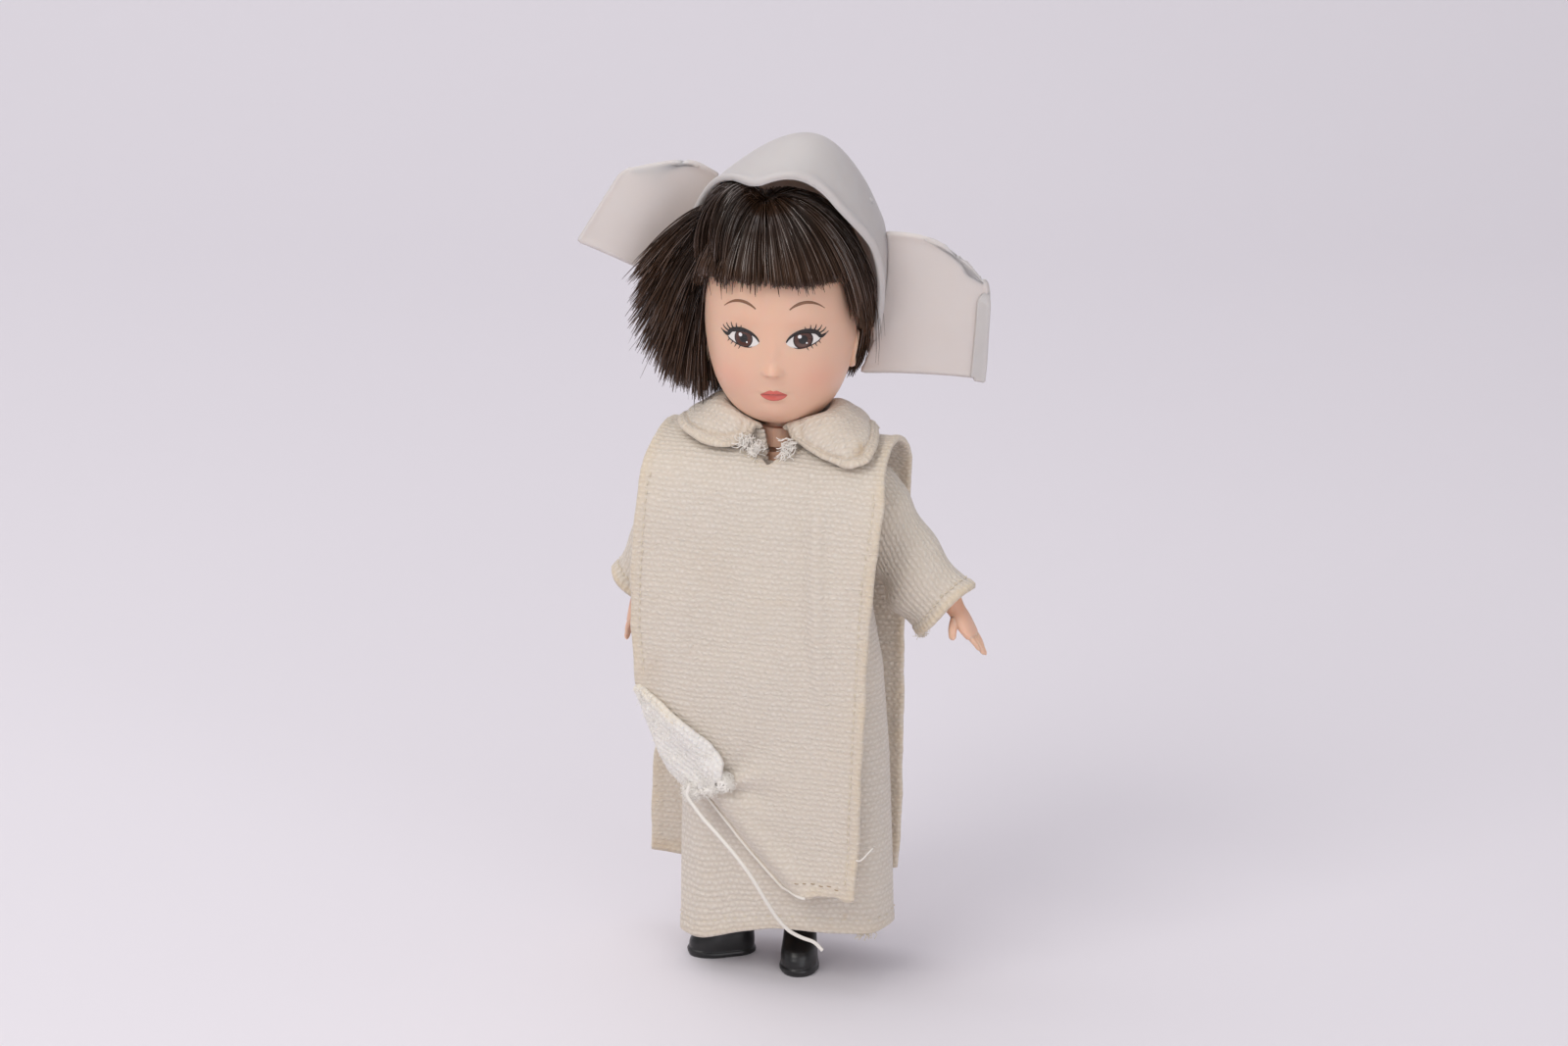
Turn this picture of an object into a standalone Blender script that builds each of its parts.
"""Small jointed costume doll in a cotton habit with a winged vinyl headdress.

Metres, +Z up. The doll stands on its shoe soles at z = 0 and faces -Y, its own left is +X.
The body axis is X = 0, Y = 0, which is also the axis that the head turns on.
"""

import bpy
import bmesh
import math
from mathutils import Matrix, Vector

MM = 0.001

# ---- driving dimensions, millimetres and degrees ----
HEAD_CENTRE_Z = 92.2
HEAD_RX, HEAD_RY, HEAD_RZ = 10.0, 10.8, 15.0
HEAD_FULLNESS = 0.72       # under 1 the lower half is rounder than an ellipsoid
HEAD_WALL = 1.1
HEAD_YAW = 13.0            # the head is turned a little to the doll's left
NECK_JOINT_Z = 78.0
NECK_HOLE_POLAR = 169.6    # where the shell stops round the neck

SHOULDER_X, SHOULDER_Z = 13.5, 67.8
LEFT_ARM_SPLAY, RIGHT_ARM_SPLAY = 37.0, 21.0
ARM_LENGTH = 25.4
CUFF_AT = 17.2

HIP_X, HIP_Z = 6.4, 39.8
LEFT_ANKLE_X, RIGHT_ANKLE_X = 2.2, -7.2
ANKLE_Y = 1.8
LEFT_FOOT_YAW, RIGHT_FOOT_YAW = 15.0, -62.0

TUNIC_WALL = 0.6
HEM_Z = 8.8
PANEL_WALL = 0.8
FRONT_PANEL_BOTTOM_Z = 15.2
BACK_PANEL_BOTTOM_Z = 12.0, 9.4   # the back panel hangs lower on the doll's right
NECK_OPENING_R = 6.3
PARTING = 0.18             # half of the gap where two pieces meet

CORNETTE_ROLL = 16.0       # worn askew, the doll's left wing low
CORNETTE_WALL = 0.7

THREAD_D = 0.5

for old in list(bpy.data.objects):
    bpy.data.objects.remove(old, do_unlink=True)


def material(name, colour, roughness, metallic=0.0):
    made = bpy.data.materials.new(name)
    made.use_nodes = True
    shader = made.node_tree.nodes["Principled BSDF"]
    shader.inputs["Base Color"].default_value = (*colour, 1.0)
    shader.inputs["Roughness"].default_value = roughness
    shader.inputs["Metallic"].default_value = metallic
    made.diffuse_color = (*colour, 1.0)
    return made


SKIN = material("skin_vinyl", (0.80, 0.47, 0.31), 0.5)
HAIR = material("brown_fibre_hair", (0.045, 0.022, 0.014), 0.35)
COTTON = material("natural_cotton", (0.76, 0.70, 0.58), 0.95)
WHITE = material("white_vinyl", (0.82, 0.81, 0.79), 0.45)
BLACK = material("black_vinyl", (0.012, 0.012, 0.014), 0.35)
TORSO = material("torso_plastic", (0.78, 0.46, 0.31), 0.45)
THREAD = material("white_thread", (0.82, 0.80, 0.75), 0.9)
SNAP = material("snap_metal", (0.55, 0.55, 0.56), 0.3, 1.0)


# ---- shape helpers ----
def add_object(name, points, faces, mat, origin=(0, 0, 0), parent=None, smooth=True):
    """An object whose points are given in the millimetre frame of its parent, or of the world."""
    mesh = bpy.data.meshes.new(name)
    base = Vector(origin)
    mesh.from_pydata([(Vector(p) - base) * MM for p in points], [], faces)
    work = bmesh.new()
    work.from_mesh(mesh)
    bmesh.ops.recalc_face_normals(work, faces=work.faces)
    work.to_mesh(mesh)
    work.free()
    if smooth:
        mesh.shade_smooth()
        mesh.set_sharp_from_angle(angle=math.radians(40))
    obj = bpy.data.objects.new(name, mesh)
    obj.location = base * MM
    obj.parent = parent
    mesh.materials.append(mat)
    bpy.context.scene.collection.objects.link(obj)
    return obj


def grid(rows, wrap=False, pole=None):
    """Points and quads of a grid; wrap joins each row's ends, pole is a point above the first row."""
    wide = len(rows[0])
    points = [p for row in rows for p in row]
    faces = []
    for i in range(len(rows) - 1):
        for j in range(wide if wrap else wide - 1):
            k = (j + 1) % wide
            faces.append((i * wide + j, i * wide + k, (i + 1) * wide + k, (i + 1) * wide + j))
    if pole is not None:
        points.append(pole)
        faces += [(len(points) - 1, (j + 1) % wide, j) for j in range(wide)]
    return points, faces


def sheet(name, rows, wall, mat, wrap=False, pole=None, origin=(0, 0, 0), parent=None):
    """A wall of even thickness round the surface through the rows."""
    points, faces = grid(rows, wrap, pole)
    obj = add_object(name, points, faces, mat, origin, parent)
    solid = obj.modifiers.new("wall", "SOLIDIFY")
    solid.thickness = wall * MM
    solid.offset = 0.0
    solid.use_even_offset = True
    solid.use_rim = True
    return obj


def between(name, inner, outer, mat, origin=(0, 0, 0), parent=None):
    """A closed solid that fills the space between two grids of the same size."""
    points, faces = grid(inner)
    more, again = grid(outer)
    shift = len(points)
    wide, tall = len(inner[0]), len(inner)
    faces = [tuple(reversed(f)) for f in faces] + [tuple(v + shift for v in f) for f in again]
    edge = [j for j in range(wide)]
    edge += [i * wide + wide - 1 for i in range(1, tall)]
    edge += [(tall - 1) * wide + j for j in range(wide - 2, -1, -1)]
    edge += [i * wide for i in range(tall - 2, 0, -1)]
    for a, b in zip(edge, edge[1:] + edge[:1]):
        faces.append((a, b, b + shift, a + shift))
    return add_object(name, points + more, faces, mat, origin, parent)


def loft(name, rings, mat, origin=(0, 0, 0), parent=None):
    """A closed solid through rings of points, flat at both ends."""
    points, faces = grid(rings, wrap=True)
    wide = len(rings[0])
    faces.append(tuple(reversed(range(wide))))
    faces.append(tuple(range(len(points) - wide, len(points))))
    return add_object(name, points, faces, mat, origin, parent)


def ring(centre, across, along, r1, r2, count=16):
    """An ellipse round centre, with its half axes r1 and r2 along two unit vectors."""
    centre, across, along = Vector(centre), Vector(across), Vector(along)
    return [
        centre + across * (r1 * math.cos(t)) + along * (r2 * math.sin(t))
        for t in (2 * math.pi * k / count for k in range(count))
    ]


def turned(name, profile, mat, axis="Z", centre=(0, 0, 0), count=20, origin=(0, 0, 0), parent=None):
    """A solid of revolution. profile holds (distance along the axis, radius)."""
    ways = {
        "X": (Vector((1, 0, 0)), Vector((0, 1, 0)), Vector((0, 0, 1))),
        "Y": (Vector((0, 1, 0)), Vector((0, 0, 1)), Vector((1, 0, 0))),
        "Z": (Vector((0, 0, 1)), Vector((1, 0, 0)), Vector((0, 1, 0))),
    }
    way, across, along = ways[axis]
    rings = [ring(Vector(centre) + way * d, across, along, r, r, count) for d, r in profile]
    return loft(name, rings, mat, origin, parent)


def helper(obj):
    obj.hide_render = True
    obj.display_type = "WIRE"
    return obj


def boolean(obj, other, operation="DIFFERENCE"):
    made = obj.modifiers.new(f"{operation.lower()}_{other.name}", "BOOLEAN")
    made.operation = operation
    made.object = other
    return obj


def box(name, low, high):
    x0, y0, z0 = low
    x1, y1, z1 = high
    rings = [
        [(x0, y0, z), (x1, y0, z), (x1, y1, z), (x0, y1, z)] for z in (z0, z1)
    ]
    return helper(loft(name, rings, SKIN))


def ellipsoid(name, centre, radii, mat, origin=(0, 0, 0), parent=None, turns=12, levels=7, way=None):
    """A closed ellipsoid; way, if given, is a 3x3 matrix that turns it."""
    way = way or Matrix.Identity(3)
    rings = []
    for i in range(levels + 1):
        polar = math.radians(8 + 164 * i / levels)
        rings.append([
            Vector(centre) + way @ Vector((
                radii[0] * math.sin(polar) * math.cos(t),
                radii[1] * math.sin(polar) * math.sin(t),
                radii[2] * math.cos(polar),
            ))
            for t in (2 * math.pi * k / turns for k in range(turns))
        ])
    return loft(name, rings, mat, origin, parent)


def smoothly(value, low, high):
    t = min(1.0, max(0.0, (value - low) / (high - low)))
    return t * t * (3 - 2 * t)


def through(pairs, value):
    """Straight-line reading of a table of (position, value)."""
    for (a, x), (b, y) in zip(pairs, pairs[1:]):
        if value <= b:
            return x + (y - x) * (value - a) / (b - a) if value > a else x
    return pairs[-1][1]


# ---- torso: two half shells round a hollow, with holes for neck, arms and legs ----
TORSO_LEVELS = [
    # z, half width, half depth
    (34.7, 1.2, 1.6), (35.0, 2.4, 3.2), (36.4, 2.9, 4.2), (42.0, 3.0, 4.7), (44.0, 3.2, 4.9),
    (45.2, 7.2, 5.0), (47.0, 7.8, 5.2), (52.0, 7.0, 4.8), (58.0, 7.6, 4.9), (64.0, 8.9, 5.2),
    (68.5, 9.7, 5.3), (71.6, 9.1, 4.5), (72.5, 7.0, 3.5), (73.1, 4.6, 3.3), (73.4, 3.5, 3.2),
]


def half_rows(levels, side, start=0.0, stop=180.0, steps=12, power=1.0):
    """Rows of the half with y of the given sign, kept clear of the parting plane."""
    rows = []
    for z, a, b in levels:
        row = []
        for k in range(steps + 1):
            t = math.radians(start + (stop - start) * k / steps)
            c, s = math.cos(t), math.sin(t)
            x = a * math.copysign(abs(c) ** power, c)
            y = side * (PARTING + (b - PARTING) * abs(s) ** power)
            row.append((x, y, z))
        rows.append(row)
    return rows


torso_front = sheet("torso_front_shell", half_rows(TORSO_LEVELS, -1), 0.9, TORSO)
torso_back = sheet("torso_back_shell", half_rows(TORSO_LEVELS, 1), 0.9, TORSO)
arm_hole = helper(turned("arm_hole_cutter", [(-16, 1.65), (16, 1.65)], SKIN, "X", (0, 0, SHOULDER_Z)))
leg_hole = helper(turned("leg_hole_cutter", [(-8, 1.6), (8, 1.6)], SKIN, "X", (0, 0, HIP_Z)))
for half in (torso_front, torso_back):
    boolean(half, arm_hole)
    boolean(half, leg_hole)

# The neck is one turned piece: a flange inside the torso, the neck itself, and a flange inside the head.
turned(
    "neck_plug",
    [(71.0, 3.3), (71.7, 3.5), (71.8, 2.4), (74.0, 2.4), (74.1, 3.2), (76.6, 3.0), (76.7, 2.25),
     (79.1, 2.25), (79.2, 3.4), (79.7, 3.4), (80.4, 2.6)],
    TORSO,
)


# ---- head, turned on the neck ----
head_pivot = bpy.data.objects.new("head_pivot", None)
head_pivot.location = (0, 0, NECK_JOINT_Z * MM)
head_pivot.rotation_euler = (0, 0, math.radians(HEAD_YAW))
bpy.context.scene.collection.objects.link(head_pivot)
LIFT = HEAD_CENTRE_Z - NECK_JOINT_Z


def on_head(azimuth, polar, off=0.0):
    """A point over the skull, azimuth 0 in front and growing to the doll's left, in the head's frame."""
    az, po = math.radians(azimuth), math.radians(polar)
    round_it = math.sin(po) if polar < 90 else math.sin(po) ** HEAD_FULLNESS
    return Vector((
        (HEAD_RX + off) * round_it * math.sin(az),
        -(HEAD_RY + off) * round_it * math.cos(az),
        LIFT + (HEAD_RZ + off) * math.cos(po),
    ))


def girth(height, off):
    """How wide the skull is at a height over its centre, as a share of its widest."""
    share = math.sqrt(max(0.02, 1 - (height / (HEAD_RZ + off)) ** 2))
    return share if height > 0 else share ** HEAD_FULLNESS


HEAD_RINGS = 15
head_rows = [
    [on_head(360 * k / 22, 9 + (NECK_HOLE_POLAR - 9) * i / HEAD_RINGS, -HEAD_WALL / 2) for k in range(22)]
    for i in range(HEAD_RINGS + 1)
]
head = sheet("head_shell", head_rows, HEAD_WALL, SKIN, wrap=True,
             pole=(0, 0, LIFT + HEAD_RZ - HEAD_WALL / 2), parent=head_pivot)
for side, sign in (("left", 1), ("right", -1)):
    ear = ellipsoid(f"{side}_ear_form", (sign * 9.7, 0.6, LIFT - 5.6), (1.5, 1.7, 2.5), SKIN, parent=head_pivot)
    boolean(head, helper(ear), "UNION")
nose = ellipsoid("nose_form", (0, -10.1, LIFT - 5.4), (1.1, 1.3, 1.0), SKIN, parent=head_pivot)
boolean(head, helper(nose), "UNION")


def cap_edge(azimuth):
    """Polar angle where the crown hair ends: high over the fringe and the loose bob, lower over the left lock."""
    az = (azimuth + 180) % 360 - 180
    return 44 + 20 * smoothly(az, 50, 72) * (1 - smoothly(az, 140, 174))


cap_rows = [
    [on_head(15 * k, 5 + (cap_edge(15 * k) - 5) * i / 6, 1.15) for k in range(24)]
    for i in range(7)
]
sheet("hair_cap", cap_rows, 1.3, HAIR, wrap=True, pole=on_head(0, 0, 1.15), parent=head_pivot)

fringe_rows = [
    [
        on_head(-53 + 106 * k / 10, (cap_edge(-53 + 106 * k / 10) + 4.6) * (1 - t) + 67.5 * t, 1.3 + 1.0 * t)
        for k in range(11)
    ]
    for t in (0.0, 0.33, 0.66, 1.0)
]
sheet("hair_fringe", fringe_rows, 1.2, HAIR, parent=head_pivot)

lock_rows = []
for i in range(7):
    row = []
    for k in range(11):
        az = 60.5 + 116 * k / 10
        high = cap_edge(az) + 4.6
        low = 104 + 26 * smoothly(az, 104, 128)
        row.append(on_head(az, high + (low - high) * i / 6, 0.9))
    lock_rows.append(row)
sheet("hair_left_lock", lock_rows, 1.1, HAIR, parent=head_pivot)

BOB_OUT = [
    # height over the head's centre, how far the loose ends reach
    (-11.4, 11.6), (-8.0, 15.0), (-4.0, 18.2), (0.0, 20.2), (2.5, 20.0), (5.0, 17.4), (8.0, 13.6), (10.4, 9.8),
]
BOB_TOP = 10.1
inner_rows, outer_rows = [], []
for i in range(9):
    t = i / 8
    h = BOB_TOP + (BOB_OUT[0][0] - BOB_TOP) * t
    inner_row, outer_row = [], []
    for k in range(11):
        az = -(60.5 + 116 * k / 10)
        a = math.radians(az)
        skull = girth(h, 0.75)
        near = Vector(((HEAD_RX + 0.75) * skull * math.sin(a), -(HEAD_RY + 0.75) * skull * math.cos(a), LIFT + h))
        flare = smoothly(-az, 58, 74) * (1 - smoothly(-az, 94, 116))
        reach = (HEAD_RX + 2.0) * skull * (1 - flare) + through(BOB_OUT, h) * flare
        reach = max(reach, Vector((near.x, near.y)).length + 1.3)
        outer_row.append(Vector((reach * math.sin(a), -reach * math.cos(a), LIFT + h - 0.5 * t)))
        inner_row.append(near)
    inner_rows.append(inner_row)
    outer_rows.append(outer_row)
bob = between("hair_right_bob", inner_rows, outer_rows, HAIR, parent=head_pivot)
lock = bpy.data.objects["hair_left_lock"]
for piece, sign in ((bob, -1), (lock, 1)):
    room = ellipsoid(f"{piece.name}_ear_room", (sign * 9.9, 0.6, LIFT - 5.6), (1.9, 2.1, 2.9), SKIN, parent=head_pivot)
    boolean(piece, helper(room))


# ---- headdress: a high hood round the crown and two wings ----
cornette_pivot = bpy.data.objects.new("cornette_pivot", None)
cornette_pivot.parent = head_pivot
cornette_pivot.location = (0, 0, LIFT * MM)
cornette_pivot.rotation_euler = (0, math.radians(CORNETTE_ROLL), 0)
bpy.context.scene.collection.objects.link(cornette_pivot)

HOOD = [
    # y, half width, height over the head's centre
    (-6.5, 12.4, 18.7), (-3.0, 13.2, 21.3), (1.5, 13.8, 22.6), (6.0, 13.6, 21.4),
    (9.4, 12.6, 18.4), (11.8, 10.6, 13.7), (13.1, 7.2, 8.6),
]
HOOD_ASIDE = -1.3          # the hood sits a little to the doll's right


def hood_x(half_width, t):
    """X of the hood at t degrees from its top: an arch, narrower towards the top, that leans to the doll's right."""
    high = max(0.0, math.cos(math.radians(t)))
    narrow = 1 - 0.20 * max(0.0, (high - 0.62) / 0.38) ** 1.2
    return half_width * narrow * math.sin(math.radians(t)) + HOOD_ASIDE - 0.6 * high ** 4


hood_rows = []
for y, _, _ in HOOD:
    row = []
    for t in (-84 + 182 * k / 18 for k in range(19)):
        # the front edge runs back on both sides: on the doll's right behind the loose hair, on the left to the ear
        rim = 12.0 * smoothly(-t, 40, 72) + 6.5 * smoothly(t, 25, 95) + 4.0 * smoothly(t, 86, 97)
        back = y + rim * (1 - smoothly(y, -6.5, 13.1))
        a = through([(at, wide) for at, wide, _ in HOOD], back)
        h = through([(at, high) for at, _, high in HOOD], back)
        row.append((hood_x(a, t), back, h * math.cos(math.radians(t))))
    hood_rows.append(row)
sheet("cornette_crown", hood_rows, CORNETTE_WALL, WHITE, parent=cornette_pivot)


def wing_rows(sign, root_y, root_top, root_low, outer_top, outer_low, curl, bow):
    """Rows from the level top edge to the bottom edge, each from the hood outwards."""
    rows = []
    for i in range(8):
        q = (0.0, 0.07, 0.2, 0.36, 0.52, 0.68, 0.84, 1.0)[i]
        root_z = root_top + (root_low - root_top) * q
        root_x = 14.2 * math.sqrt(1 - (root_z / 23.8) ** 2) + 0.75 + sign * HOOD_ASIDE
        # the outer top corner is round
        tip_x = outer_top[0] + (outer_low[0] - outer_top[0]) * q - 1.5 * (1 - smoothly(q, 0.0, 0.16))
        tip_z = outer_top[1] + (outer_low[1] - outer_top[1]) * q
        row = []
        for j in range(9):
            p = j / 8
            x = root_x + (tip_x - root_x) * p
            z = root_z + (tip_z - root_z) * p + math.sin(math.pi * p) * (bow * (1 - q) + 0.5 * q)
            y = root_y - 1.3 * math.sin(math.pi * p) - curl * p ** 3
            row.append((sign * x, y, z))
        rows.append(row)
    return rows


sheet("cornette_left_wing", wing_rows(1, 2.0, 13.2, -5.4, (24.6, 12.2), (27.8, -1.1), 1.4, 1.7), CORNETTE_WALL, WHITE,
      parent=cornette_pivot)
sheet("cornette_right_wing", wing_rows(-1, 7.4, 12.0, -3.0, (24.8, 10.2), (28.3, -1.1), 0.4, 1.3), CORNETTE_WALL, WHITE,
      parent=cornette_pivot)


# ---- arms: each turns on its shoulder knob, with its sleeve ----
tunic_armhole = helper(turned("armhole_cutter", [(-16, 3.95), (16, 3.95)], SKIN, "X", (0, 0, SHOULDER_Z)))

ARM = [
    # along the arm, half width, half depth
    (-3.1, 0.7, 0.6), (-2.5, 1.9, 1.6), (-1.2, 2.7, 2.4), (0.8, 2.6, 2.7), (4.0, 2.05, 2.3),
    (9.0, 2.1, 2.1), (13.0, 2.1, 2.0), (16.2, 1.75, 1.6), (18.4, 1.3, 1.3), (19.8, 1.15, 1.8),
    (21.4, 1.0, 1.85), (23.2, 0.75, 1.3), (24.6, 0.55, 0.8), (ARM_LENGTH, 0.3, 0.35),
]
for side, sign, splay in (("left", 1, LEFT_ARM_SPLAY), ("right", -1, RIGHT_ARM_SPLAY)):
    turn = math.radians(splay)
    start = Vector((sign * SHOULDER_X, 0, SHOULDER_Z))
    down = Vector((sign * math.sin(turn), 0, -math.cos(turn)))
    out = Vector((sign * math.cos(turn), 0, math.sin(turn)))
    deep = Vector((0, 1, 0))
    at = tuple(start)
    arm = loft(f"{side}_arm", [ring(start + down * s, out, deep, a, b, 14) for s, a, b in ARM], SKIN, origin=at)
    low, high = (-20, 10.7) if sign > 0 else (-10.7, 20)
    boolean(arm, box(f"{side}_arm_trim", (low, -8, 40), (high, 8, 80)))
    knob = turned(f"{side}_arm_knob", [(sign * d, r) for d, r in
                                       ((6.3, 1.8), (6.6, 2.0), (7.2, 2.0), (7.3, 1.3), (12.5, 1.3))],
                  SKIN, "X", (0, 0, SHOULDER_Z), 16, origin=at)
    boolean(arm, helper(knob), "UNION")
    thumb_root = start + down * 19.6 - out * 0.5 - deep * 0.9
    thumb_tip = thumb_root + down * 1.9 - out * 1.5 - deep * 1.5
    reach = (thumb_tip - thumb_root).normalized()
    square = reach.orthogonal().normalized()
    thumb = loft(f"{side}_thumb_form",
                 [ring(thumb_root.lerp(thumb_tip, t), square, reach.cross(square), r, r, 8)
                  for t, r in ((0, 0.7), (0.5, 0.65), (0.85, 0.5), (1, 0.2))], SKIN, origin=at)
    boolean(arm, helper(thumb), "UNION")

    # along the arm, half width, half depth, and how far the cloth hangs under the arm's axis
    SLEEVE = {
        "left": [(-2.5, 3.55, 3.5, 0.35), (0.0, 3.83, 3.6, 0.47), (5.0, 4.25, 3.6, 1.15), (10.0, 4.6, 3.6, 1.4),
                 (CUFF_AT, 4.95, 3.5, 0.85)],
        "right": [(-2.5, 3.6, 3.5, 0.3), (0.0, 3.85, 3.6, 0.4), (5.0, 4.0, 3.6, 0.6), (10.0, 4.3, 3.6, 0.4),
                  (CUFF_AT, 4.8, 3.5, 0.3)],
    }[side]
    rows = [ring(start + down * s - out * sag, out, deep, a, b, 18) for s, a, b, sag in SLEEVE]
    sleeve = sheet(f"{side}_sleeve", rows, TUNIC_WALL, COTTON, wrap=True, origin=at)
    low, high = (-20, 12.65) if sign > 0 else (-12.65, 20)
    boolean(sleeve, box(f"{side}_sleeve_trim", (low, -8, 40), (high, 8, 80)))


# ---- legs: each turns on its hip knob, with its shoe ----
for side, sign, ankle_x, yaw in (("left", 1, LEFT_ANKLE_X, LEFT_FOOT_YAW), ("right", -1, RIGHT_ANKLE_X, RIGHT_FOOT_YAW)):
    at = (sign * HIP_X, 0, HIP_Z)
    hip, ankle = Vector(at), Vector((ankle_x, ANKLE_Y, 6.0))
    LEG = [
        (43.1, 1.0), (42.6, 1.9), (41.5, 2.4), (39.8, 2.55), (33.0, 2.5), (26.0, 2.25), (22.0, 2.15),
        (18.0, 2.25), (13.0, 2.0), (9.0, 1.65), (6.0, 1.5), (3.2, 1.5), (2.0, 1.3),
    ]
    rings = []
    for z, r in LEG:
        t = max(-0.1, min(1.0, (HIP_Z - z) / (HIP_Z - 9.5)))
        centre = hip.lerp(ankle, t)
        rings.append(ring((centre.x, centre.y, z), (1, 0, 0), (0, 1, 0), r, r, 14))
    leg = loft(f"{side}_leg", rings, SKIN, origin=at)
    ahead = Vector((math.sin(math.radians(yaw)), -math.cos(math.radians(yaw)), 0))
    aside = Vector((ahead.y, -ahead.x, 0))
    way = Matrix((aside, ahead, (0, 0, 1))).transposed()
    foot_at = Vector((ankle_x, ANKLE_Y, 2.5)) + ahead * 1.6
    foot = ellipsoid(f"{side}_foot_form", foot_at, (1.5, 3.1, 1.1), SKIN, origin=at, way=way)
    boolean(leg, helper(foot), "UNION")
    knob = turned(f"{side}_leg_knob", [(sign * d, r) for d, r in
                                       ((0.9, 1.9), (1.9, 2.0), (2.0, 1.2), (5.0, 1.2))],
                  SKIN, "X", (0, 0, HIP_Z), 14, origin=at)
    boolean(leg, helper(knob), "UNION")

    SHOE = [
        # height, middle ahead of the ankle, half length, half width
        (0.0, 2.0, 4.6, 2.7), (0.5, 2.0, 4.75, 2.8), (0.8, 2.0, 4.6, 2.7), (2.0, 1.9, 4.5, 2.65),
        (3.2, 1.55, 4.1, 2.5), (4.2, 0.75, 3.2, 2.4), (5.0, 0.15, 2.55, 2.3), (6.2, 0.0, 2.25, 2.2), (7.6, 0.0, 2.3, 2.25),
    ]
    shoe = loft(
        f"{side}_shoe",
        [ring(Vector((ankle_x, ANKLE_Y, z)) + ahead * mid, aside, ahead, w, l, 18) for z, mid, l, w in SHOE],
        BLACK, origin=at,
    )
    room = ellipsoid(f"{side}_foot_room", foot_at, (1.85, 3.45, 1.45), SKIN, origin=at, way=way)
    boolean(shoe, helper(room))
    shaft = turned(f"{side}_shaft_room", [(1.6, 1.9), (9.0, 1.95)], SKIN, "Z", (ankle_x, ANKLE_Y, 0), 16, origin=at)
    boolean(shoe, helper(shaft))


# ---- tunic: a front and two back pieces, open down the centre back ----
TUNIC_LEVELS = [
    (HEM_Z, 14.0, 7.6), (20.0, 13.7, 7.6), (32.0, 13.4, 7.5), (44.0, 13.0, 7.4), (53.0, 12.0, 7.2),
    (61.0, 11.8, 7.0), (66.0, 11.8, 6.7), (69.8, 11.8, 6.3), (72.0, 11.6, 5.4), (73.4, 10.4, 4.7),
    (73.85, 8.0, 3.9), (74.4, 5.5, 4.2), (76.6, 5.0, 4.4),
]
# how much wider the skirt stands out on the doll's left, by height
SKIRT_LEFT = [(HEM_Z, 1.7), (20.0, 1.7), (32.0, 1.5), (44.0, 0.9), (53.0, 0.0)]


def hang(points, side):
    """The skirt's own shape: wider on the doll's left, and a hem that dips at the sides."""
    made = []
    for x, y, z in points:
        share = min(1.0, abs(x) / 14.0)
        if x > 0:
            x += through(SKIRT_LEFT, z) * share ** 2
        if z == HEM_Z:
            if side < 0:
                z = 8.3 - 0.4 * smoothly(x, 6, 15) - 3.8 * smoothly(-x, -3, 13.5)
            else:
                z -= (0.9 if x > 0 else 4.3) * share ** 3
        made.append((x, y, z))
    return made


tunic_front = sheet("tunic_front", [hang(row, -1) for row in half_rows(TUNIC_LEVELS, -1, steps=14, power=0.85)],
                    TUNIC_WALL, COTTON)


def back_rows(sign):
    rows = []
    for z, a, b in TUNIC_LEVELS:
        row = []
        for k in range(8):
            t = math.radians(90 * k / 7)
            x = PARTING + (a - PARTING) * math.cos(t) ** 0.85
            y = PARTING + (b - PARTING) * math.sin(t) ** 0.85
            row.append((sign * x, y, z))
        rows.append(hang(row, 1))
    return rows


tunic_back_left = sheet("tunic_back_left", back_rows(1), TUNIC_WALL, COTTON)
tunic_back_right = sheet("tunic_back_right", back_rows(-1), TUNIC_WALL, COTTON)
for piece in (tunic_front, tunic_back_left, tunic_back_right):
    boolean(piece, tunic_armhole)

# The V in the neck's front edge.
notch = helper(loft("neck_notch", [
    [(-0.3, y, 72.6), (2.3, y, 72.6), (3.3, y, 79), (-1.3, y, 79)] for y in (-8, -2.5)
], SKIN))
boolean(tunic_front, notch)

turned("snap_socket", [(7.4, 1.7), (8.0, 1.6)], SNAP, "Y", (0, 0, 67.0), 14)
boolean(bpy.data.objects["snap_socket"],
        helper(turned("snap_bore", [(7.0, 0.8), (8.4, 0.8)], SNAP, "Y", (0, 0, 67.0), 12)))
turned("snap_stud", [(7.55, 0.4), (8.3, 0.45), (8.31, 1.6), (8.8, 1.7)], SNAP, "Y", (0, 0, 67.0), 14)


# ---- scapular: one panel in front and one behind, meeting over the shoulders ----
DRAPE = [
    # distance from the shoulder ridge, height
    (PARTING, 75.6), (2.0, 75.4), (4.0, 74.7), (6.0, 73.7), (8.0, 72.0), (9.4, 69.5), (10.4, 65.5),
    (11.0, 60.0), (11.3, 52.0), (11.3, 44.0), (11.1, 36.0), (10.9, 28.0), (10.6, 21.0), (10.4, 0.0),
]
# height and X of the side edges: both panels hang a little to the doll's right
FRONT_LEFT = [(15.2, 13.8), (57.0, 16.0), (69.0, 17.2), (75.6, 15.8)]
BACK_LEFT = [(12.0, 13.2), (24.0, 13.7), (46.0, 13.6), (60.0, 13.9), (70.0, 14.9), (75.6, 15.8)]
BACK_RIGHT = [(9.4, -22.9), (24.0, -22.3), (44.0, -19.4), (60.0, -17.2), (75.6, -15.8)]
# the front's right lower corner is turned up and tied, so its edge runs in to the knot
FRONT_RIGHT = [(0, 6.4), (15.2, 4.6), (17.0, 1.6), (21.5, -3.6), (27.0, -7.6), (36.0, -13.4), (41.0, -16.2),
               (50.0, -17.0), (60.0, -16.8), (75.6, -15.8)]


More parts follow.
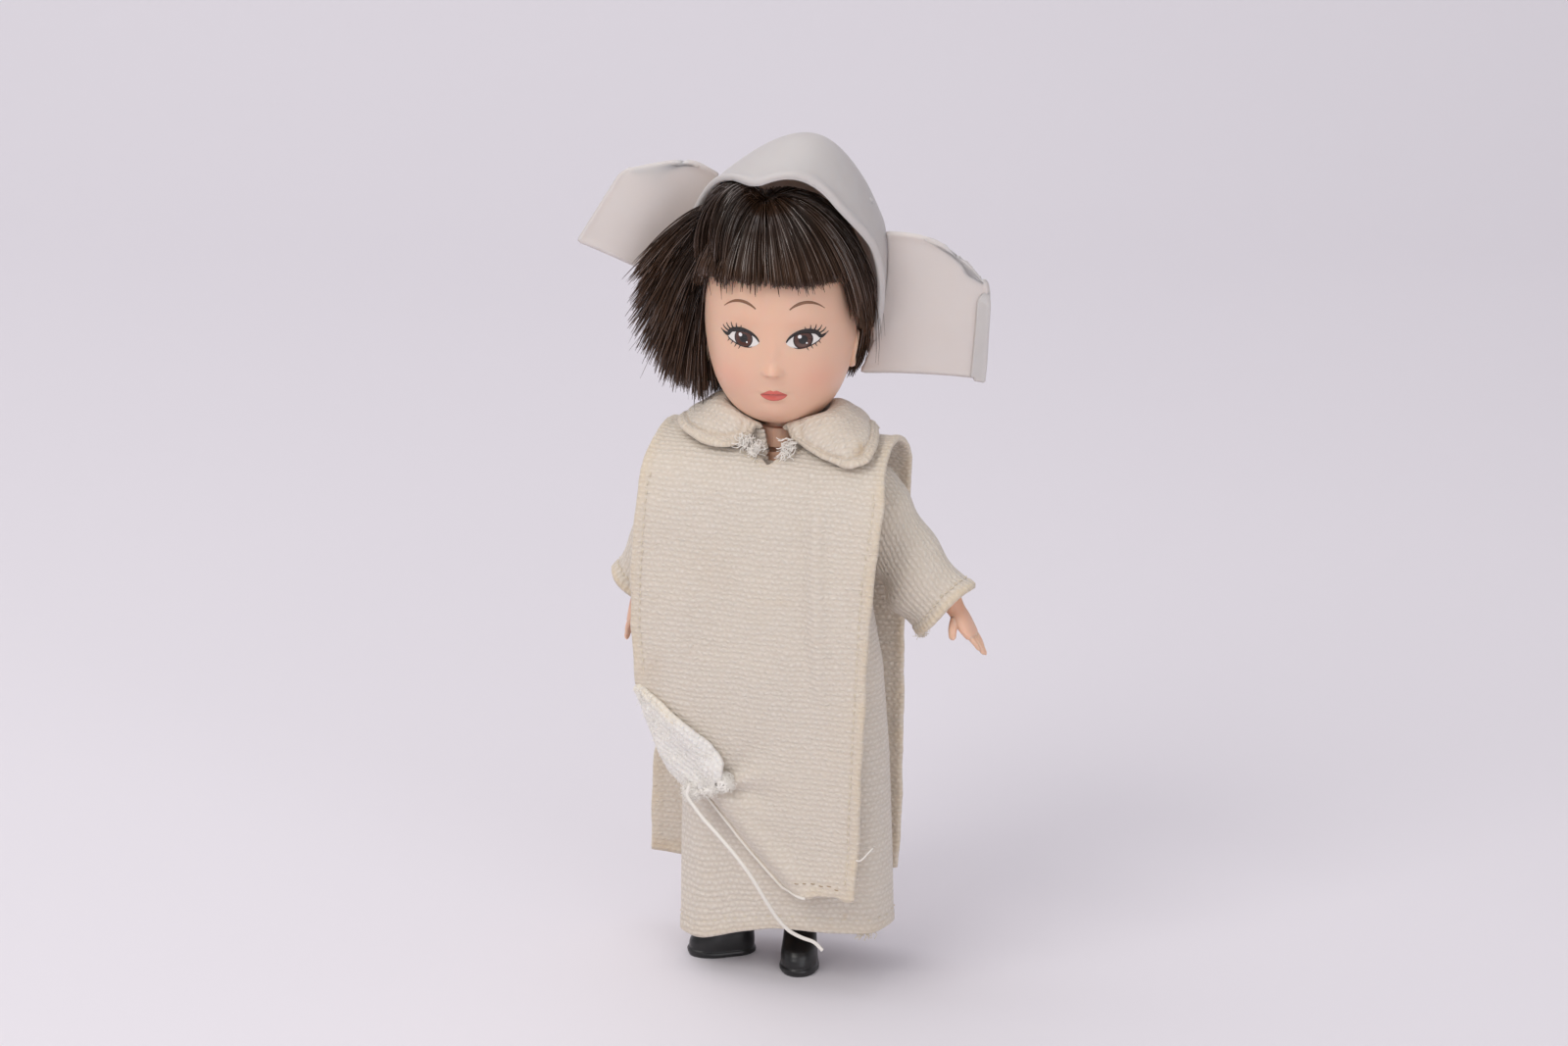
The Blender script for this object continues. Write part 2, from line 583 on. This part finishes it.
def panel_rows(side, bottom_left, bottom_right, left_edge, right_edge):
    rows = []
    for out, z in DRAPE:
        row = []
        for k in range(13):
            high = max(z, bottom_right + (bottom_left - bottom_right) * k / 12)
            left, right = through(left_edge, high), through(right_edge, high)
            row.append((right + (left - right) * k / 12, side * out, high))
        rows.append(row)
    return rows


front = sheet("scapular_front",
              panel_rows(-1, FRONT_PANEL_BOTTOM_Z, FRONT_PANEL_BOTTOM_Z, FRONT_LEFT, FRONT_RIGHT), PANEL_WALL, COTTON)
back = sheet("scapular_back", panel_rows(1, *BACK_PANEL_BOTTOM_Z, BACK_LEFT, BACK_RIGHT), PANEL_WALL, COTTON)
neck_room = helper(turned("neck_room", [(70, NECK_OPENING_R), (80, NECK_OPENING_R)], SKIN, "Z", (0, 0, 0), 24))
boolean(front, neck_room)
boolean(back, neck_room)


# ---- collar: two lobes from the centre front to the centre back, lying on the panels ----
def over_panel(y):
    return through([(z[0], z[1]) for z in DRAPE[:7]], abs(y))


COLLAR_EDGE = {
    # degrees round from the centre front, distance aside, distance ahead (negative) or behind
    "left": [(24, 3.9, -5.6), (34, 6.4, -6.7), (44, 8.8, -7.5), (54, 11.2, -8.05), (62, 13.0, -8.0), (69, 14.2, -7.2),
             (77, 14.5, -5.4), (88, 14.0, -2.6), (100, 12.9, 0.6), (115, 12.2, 3.2), (135, 9.6, 6.2), (152, 5.6, 7.8),
             (168, 2.0, 8.2)],
    "right": [(16, 3.0, -6.2), (28, 4.6, -6.9), (40, 6.6, -7.1), (50, 8.4, -6.8), (58, 10.0, -6.2), (66, 11.7, -5.1),
              (76, 13.0, -3.2), (88, 13.5, -0.6), (100, 13.0, 2.0), (115, 11.8, 4.3), (135, 9.2, 6.6), (152, 5.4, 7.9),
              (168, 2.0, 8.2)],
}
for side, sign in (("left", 1), ("right", -1)):
    rows = []
    for s in (0.0, 0.3, 0.5, 0.75, 1.0):
        row = []
        for degrees, edge_x, edge_y in COLLAR_EDGE[side]:
            az = math.radians(degrees)
            x = 5.0 * math.sin(az) + (edge_x - 5.0 * math.sin(az)) * s
            y = -4.6 * math.cos(az) + (edge_y + 4.6 * math.cos(az)) * s
            ridge = 77.0 + 1.9 * math.sin(az) ** 2
            lying = over_panel(y) + 1.0 + 0.11 * abs(y)
            if s < 0.3:
                z = 77.3
            else:
                z = ridge + (lying - ridge) * smoothly(s, 0.25, 1.0)
            row.append((sign * x, y, max(z, lying)))
        rows.append(row)
    sheet(f"{side}_collar", rows, 0.6, COTTON)


# ---- the knot at the turned corner, and the loose thread that hangs from it ----
ellipsoid("thread_knot", (-5.8, -12.7, 28.7), (2.8, 0.9, 1.4), THREAD)

ROUTE = [
    (-8.0, -14.1, 29.7), (-8.3, -14.3, 28.3), (-7.4, -14.2, 26.9), (-6.1, -14.2, 25.3), (-3.8, -14.6, 23.3), (-1.3, -14.8, 20.8),
    (0.7, -14.3, 17.9), (2.1, -13.3, 14.8), (3.3, -12.1, 11.9), (4.7, -11.0, 9.6), (6.3, -10.2, 8.4), (8.0, -9.7, 7.7),
    (9.1, -9.5, 6.6),
]


def smooth_route(points, gap):
    """Points at an even gap along a Catmull-Rom curve through the given ones."""
    pts = [Vector(p) for p in points]
    pts = [pts[0] * 2 - pts[1]] + pts + [pts[-1] * 2 - pts[-2]]
    fine = []
    for a, b, c, d in zip(pts, pts[1:], pts[2:], pts[3:]):
        for k in range(20):
            t = k / 20
            fine.append(0.5 * ((2 * b) + (c - a) * t + (2 * a - 5 * b + 4 * c - d) * t ** 2
                               + (3 * b - 3 * c + d - a) * t ** 3))
    fine.append(pts[-2])
    total = sum((q - p).length for p, q in zip(fine, fine[1:]))
    count = round(total / gap)
    even, walked, wanted = [fine[0]], 0.0, total / count
    for p, q in zip(fine, fine[1:]):
        step = (q - p).length
        while walked + step >= wanted - 1e-6 and len(even) < count:
            part = (wanted - walked) / step
            even.append(p.lerp(q, part))
            wanted += total / count
        walked += step
    even.append(fine[-1])
    return even, total


route, thread_length = smooth_route(ROUTE, 1.25)
curve = bpy.data.curves.new("loose_thread", "CURVE")
curve.dimensions = "3D"
curve.fill_mode = "FULL"
curve.use_fill_caps = True
curve.bevel_depth = THREAD_D / 2 * MM
curve.bevel_resolution = 2
spline = curve.splines.new("POLY")
spline.points.add(len(route) - 1)
for point, place in zip(spline.points, route):
    point.co = (*(place * MM), 1.0)
curve.materials.append(THREAD)
thread = bpy.data.objects.new("loose_thread", curve)
bpy.context.scene.collection.objects.link(thread)
print(f"thread length {thread_length:.2f} mm in {len(route)} points")
